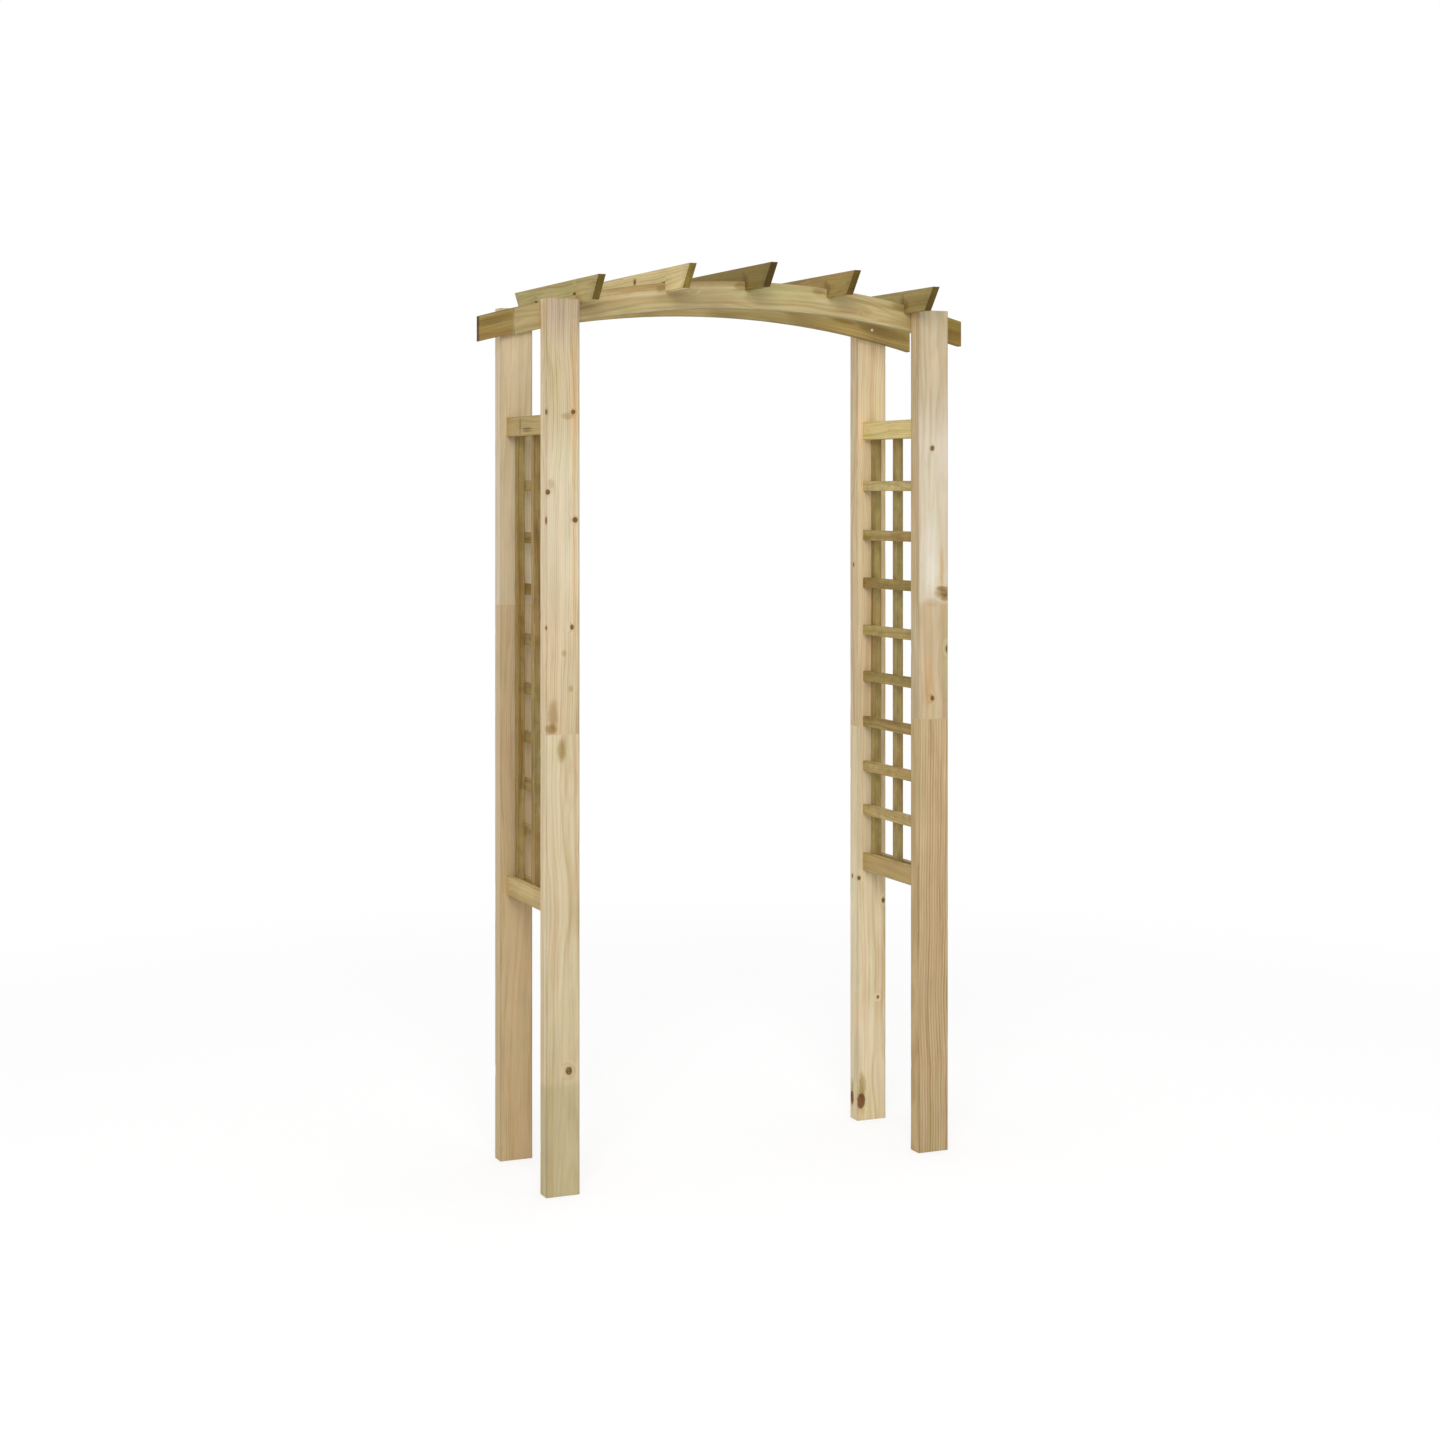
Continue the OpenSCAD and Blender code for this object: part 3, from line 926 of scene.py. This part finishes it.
for number, (node, (tone, pith)) in enumerate(RAIL_LOOKS.items()):
    low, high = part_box(node)
    x = (low.x + high.x) / 2
    ys = [low.y + (high.y - low.y) * step / RAIL_STEPS for step in range(RAIL_STEPS + 1)]
    stations = [(Vector((x, y, low.z)), Vector((x, y, high.z)), y - low.y) for y in ys]
    rail = plank(
        node + "_board", stations, Vector((1, 0, 0)), high.x - low.x, RAIL_ARRIS, [(0.0, tone)],
        [(0.0, 30 + number, pith)])
    fixed(rail, rail_finish, "rail_pine", node)

# --------------------------------------------------------------------------------
# Fixings: countersunk zinc-plated screws hold the beams to the posts and the rafters to the
# beams, and small wire nails hold the slats to the uprights and the rails to the panels.

SCREW_R = 0.0042
NAIL_R = 0.0016
HEAD_PROUD = 0.0003
# A head's rings from the outside in: radius against the head's, height, and how much of the dark
# colour of crushed wood and painted shade it takes. The first three are in the wood round the head
HEAD_RINGS = [
    (1.30, -0.0004, 1.0), (1.22, 0.00008, 1.0), (1.04, 0.00006, 1.0),
    (1.0, HEAD_PROUD * 0.6, 0.0), (0.93, HEAD_PROUD, 0.0)]
# A head with this many sides or more has a cross recess: how deep it is, how dark it is painted
# as shade, and how far in the metal between its arms comes, beside an arm and half way between two
CROSS_SIDES = 16
CROSS_BOTTOM = -0.0004
CROSS_SHADE = 0.6
CROSS_BESIDE = 0.45
CROSS_BETWEEN = 0.30
# Half a post's width, and how far a beam's screw lies inward and down from the middle
HALF_POST = 0.045
SCREW_IN = 0.010
SCREW_DOWN = 0.004


def head(name, radius, sides, recess):
    """A round head in a dark ring of crushed wood and painted shade, with a flat or a recess out to
    this share of it.
    """
    shell = bmesh.new()
    rim_layer = shell.verts.layers.float.new("rim")

    def circle(size, height, rim):
        ring = []
        for step in range(sides):
            angle = 2 * math.pi * step / sides
            vert = shell.verts.new((size * math.cos(angle), size * math.sin(angle), height))
            vert[rim_layer] = rim
            ring.append(vert)
        return ring

    rings = [
        circle(radius * size, height, rim)
        for size, height, rim in HEAD_RINGS + [(recess, HEAD_PROUD, 0.0)]]
    join_rings(shell, rings)
    if sides >= CROSS_SIDES:
        arm = sides // 4
        bottom = shell.verts.new((0.0, 0.0, CROSS_BOTTOM))
        bottom[rim_layer] = CROSS_SHADE
        for step in range(sides):
            if step % arm != 0:
                rings[-1][step].co *= CROSS_BESIDE if step % arm in (1, arm - 1) else CROSS_BETWEEN
                rings[-1][step].co.z = HEAD_PROUD
        for step in range(sides):
            shell.faces.new((rings[-1][step], rings[-1][(step + 1) % sides], bottom))
    else:
        shell.faces.new(rings[-1])
    shell.faces.new(reversed(rings[0]))
    bmesh.ops.recalc_face_normals(shell, faces=shell.faces)
    return as_piece(name, shell)


heads, given = tree_with("fixings", [
    ("Geometry", "Geometry"), ("Head", "Object"), ("Turn seed", "Int"), ("Size spread", "Float"),
    ("Finish", "Material")])
aim = recalled(heads, "FLOAT_VECTOR", "aim")
facing = heads.node("FunctionNodeAlignRotationToVector", {"axis": "Z"}, {"Vector": aim}, "Rotation")
shape = heads.node("GeometryNodeObjectInfo", {}, {"Object": given["Head"]}, "Geometry")
size = chance(heads, "FLOAT", 1.0 - given["Size spread"], 1.0, given["Turn seed"])
placed = heads.node(
    "GeometryNodeInstanceOnPoints", {},
    {"Points": given["Geometry"], "Instance": shape, "Rotation": facing, "Scale": size})
turn = chance(heads, "FLOAT_VECTOR", (0.0, 0.0, 0.0), (0.0, 0.0, 1.5), given["Turn seed"])
turned = heads.node("GeometryNodeRotateInstances", {}, {"Instances": placed, "Rotation": turn})
real = heads.node("GeometryNodeRealizeInstances", {}, {"Geometry": turned})
coated = heads.node("GeometryNodeSetMaterial", {}, {"Geometry": real, "Material": given["Finish"]})
heads.node("NodeGroupOutput", {}, {"Geometry": coated})


def plated(name, colour, crushed_wood_and_shade):
    """Zinc plate that has dulled in patches, in a dark ring of crushed and stained wood and painted
    shade, with its cross recess painted dark as shade.
    """
    finish, bench = new_finish(name)
    place = bench.node("ShaderNodeTexCoord", {}, {}, "Object")
    rim = bench.node("ShaderNodeAttribute", {"attribute_name": "rim"}, out="Fac")
    patch = bench.grainy(place, (700.0, 700.0, 700.0), 2.0)
    metal = bench.tinted(colour, (0.70, 0.62, 0.50), patch.ramp(0.4, 0.75) * 0.6)
    seen = bench.covered(metal, crushed_wood_and_shade, rim)
    surface = bench.node(
        "ShaderNodeBsdfPrincipled", {},
        {"Base Color": seen, "Metallic": rim.ramp(0.0, 0.5, 0.85, 0.0),
         "Roughness": 0.34 + patch * 0.2 + rim * 0.3})
    bench.node("ShaderNodeOutputMaterial", {}, {"Surface": surface})
    return finish


def drive(name, places, head_object, seed, finish):
    """Puts a head at each place, which is a point and the direction that it looks in."""
    mesh = bpy.data.meshes.new(name)
    mesh.from_pydata([point for point, _ in places], [], [])
    aims = mesh.attributes.new("aim", "FLOAT_VECTOR", "POINT")
    for number, (_, way) in enumerate(places):
        aims.data[number].vector = way
    piece = linked(name, mesh)
    run_tree(piece, heads.tree, {
        "Head": head_object, "Turn seed": seed, "Size spread": 0.05, "Finish": finish})
    piece.data.materials.clear()
    piece.data.materials.append(finish)
    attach(piece, "root")


screw_places = []
for node, way in (("front_beam", 1), ("back_beam", -1)):
    low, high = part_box(node)
    face = high.y if way > 0 else low.y
    for side in (-1, 1):
        x = side * (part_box("post_front_right")[0].x + HALF_POST - SCREW_IN)
        z = (beam_top(x) + beam_belly(x)) / 2 - SCREW_DOWN
        screw_places.append((Vector((x, face, z)), Vector((0, way, 0))))
for number in range(len(RAFTER_TONES)):
    low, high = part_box("rafter_%d" % (number + 1))
    for node in ("front_beam", "back_beam"):
        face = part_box(node)
        y = (face[0].y + face[1].y) / 2
        point = Vector(((low.x + high.x) / 2, y, high.z - HEAD_PROUD))
        screw_places.append((point, Vector((0, 0, 1))))

nail_places = []
for side in ("left", "right"):
    low, high, outward, inner, first_z, first_y, pitch = panel_grid(side)
    levels = [
        first_z - row * SLAT_PITCH + SLAT_CLOSING * row * (row - 1) / 2
        for row in range(SLAT_COUNT)]
    for level in levels + [high.z - RAIL_H / 2, low.z + RAIL_H / 2]:
        for column in range(UPRIGHT_COUNT):
            point = Vector((inner, first_y + column * pitch, level))
            nail_places.append((point, Vector((-outward, 0, 0))))

screw_head = head("screw_head", SCREW_R, 20, 0.75)
nail_head = head("nail_head", NAIL_R, 10, 0.5)
zinc = plated("zinc screws", shade(226, 214, 180), shade(92, 72, 38))
drive("screw_heads", screw_places, screw_head, 3, zinc)
wire = plated("wire nails", shade(176, 168, 150), shade(96, 78, 44))
drive("nail_heads", nail_places, nail_head, 8, wire)
for helper in (screw_head, nail_head):
    bpy.data.objects.remove(helper)

# --------------------------------------------------------------------------------
# Studio: a pale floor that keeps a soft shadow, a white surround, two large soft lamps and
# the camera, which stands to the left of the arch at a little above the height of the eyes.

FLOOR_R = 45.0
# Over this distance from the arch the floor turns pure white
FADE_FROM = 1.6
FADE_TO = 4.5
# The camera: the image's width, the height of its horizon, then its place, turn and lens
IMAGE = 1440
CAMERA_PLACE = (-2.5936, -5.9950, 1.7695)
CAMERA_TURN = -23.329
CAMERA_LENS = 61.22
HORIZON_ROW = 490.2

shell = bmesh.new()
bmesh.ops.create_circle(shell, cap_ends=True, segments=96, radius=FLOOR_R)
floor = as_piece("floor", shell)


def seen_rays(bench):
    """1 on the rays that show a surface to the camera, 0 on those that only carry light."""
    camera_ray, glossy_ray, through_ray = [
        bench.node("ShaderNodeLightPath", {}, {}, name)
        for name in ("Is Camera Ray", "Is Glossy Ray", "Is Transmission Ray")]
    return camera_ray.larger(glossy_ray).larger(through_ray)


floor_paint, bench = new_finish("floor paint")
seen = seen_rays(bench)
lit = bench.node("ShaderNodeBsdfDiffuse", {}, {"Color": (0.85, 0.85, 0.85, 1.0)})
half_lit = bench.node("ShaderNodeBsdfDiffuse", {}, {"Color": (0.40, 0.40, 0.40, 1.0)})
half_white = bench.node("ShaderNodeEmission", {}, {"Color": (1.0, 1.0, 1.0, 1.0), "Strength": 0.64})
white = bench.node("ShaderNodeEmission", {}, {"Color": (1.0, 1.0, 1.0, 1.0), "Strength": 1.0})
pale = bench.node("ShaderNodeAddShader", {}, [half_lit, half_white])
away = bench.node("ShaderNodeTexCoord", {}, {}, "Object").length().ramp(FADE_FROM, FADE_TO)
faded = bench.node("ShaderNodeMixShader", {}, [away, pale, white])
shown = bench.node("ShaderNodeMixShader", {}, [seen, lit, faded])
bench.node("ShaderNodeOutputMaterial", {}, {"Surface": shown})
floor.data.materials.append(floor_paint)

world = bpy.data.worlds.new("surround")
bpy.context.scene.world = world
world.use_nodes = True
bench = Bench(world.node_tree)
sky = bench.node(
    "ShaderNodeBackground", {},
    {"Color": (1.0, 1.0, 1.0, 1.0), "Strength": seen_rays(bench) * 0.4 + 0.6})
bench.node("ShaderNodeOutputWorld", {}, {"Surface": sky})


def lamp(name, place, aim_at, width, power):
    """A large square soft box that looks at a point."""
    data = bpy.data.lights.new(name, "AREA")
    data.shape = "SQUARE"
    data.size = width
    data.energy = power
    light = linked(name, data)
    light.location = place
    light.rotation_euler = (Vector(aim_at) - Vector(place)).to_track_quat("-Z", "Y").to_euler()


lamp("key_lamp", (-3.0, -6.8, 5.0), (0.0, 0.0, 1.2), 4.0, 270.0)
lamp("top_lamp", (0.5, 0.5, 6.0), (0.0, 0.0, 1.0), 4.0, 70.0)

camera_data = bpy.data.cameras.new("camera")
camera_data.sensor_width = 36.0
camera_data.lens = CAMERA_LENS
camera_data.shift_y = (HORIZON_ROW - IMAGE / 2) / IMAGE
camera = linked("camera", camera_data)
camera.location = CAMERA_PLACE
camera.rotation_euler = (math.radians(90.0), 0.0, math.radians(CAMERA_TURN))
bpy.context.scene.camera = camera
bpy.context.scene.view_settings.view_transform = "Standard"
